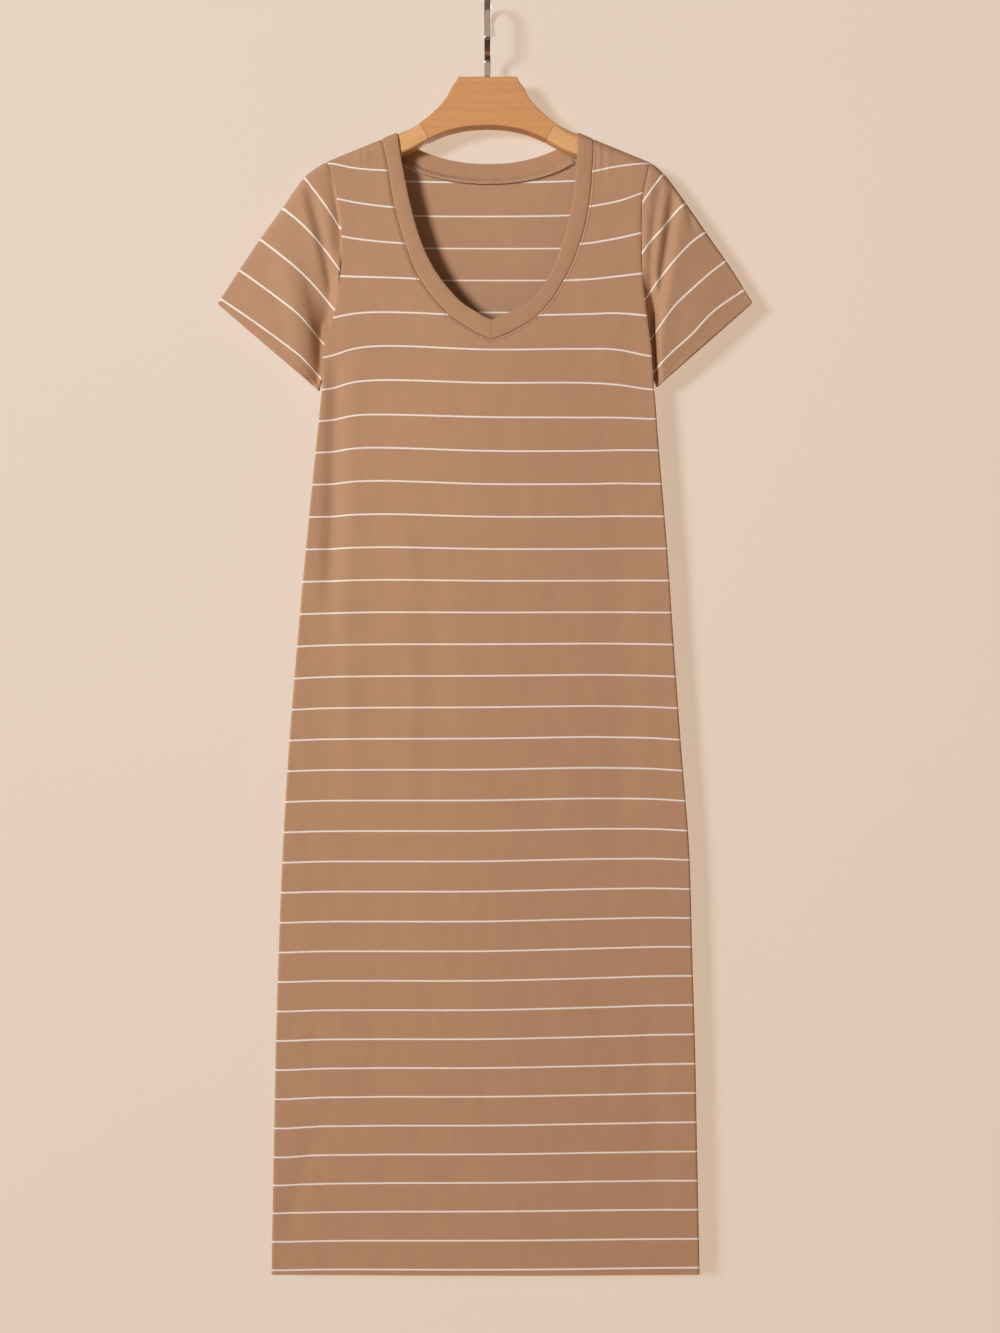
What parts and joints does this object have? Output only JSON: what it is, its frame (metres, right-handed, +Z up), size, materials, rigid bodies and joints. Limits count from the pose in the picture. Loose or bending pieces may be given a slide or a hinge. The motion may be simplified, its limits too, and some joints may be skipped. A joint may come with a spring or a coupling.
{
  "type": "t-shirt dress on a wooden hanger",
  "caption": "Striped jersey t-shirt dress with a banded V neck and short sleeves, hanging flat on a flat-hooked wooden hanger.",
  "frame": {"origin": "inside top of the hanger's hook, where it rests on a rail", "axes": "+X to the right as the front is faced, -Y towards the front, +Z up"},
  "size_m": [0.6193, 0.0424, 1.4757],
  "materials": {
    "jersey": "tan brushed jersey with thin off-white stripes",
    "neckband_jersey": "plain tan jersey, folded double",
    "wood_block": "satin lacquered beech",
    "wood_arm": "satin lacquered beech, lighter",
    "hook_metal": "bright plated flat strip"
  },
  "bodies": {
    "root": {"front_panel": "jersey", "back_panel": "jersey", "neckband": "neckband_jersey", "sleeve_left": "jersey", "sleeve_right": "jersey", "hanger_block": "wood_block", "hanger_arm_left": "wood_arm", "hanger_arm_right": "wood_arm", "hook": "hook_metal"}
  },
  "joints": []
}
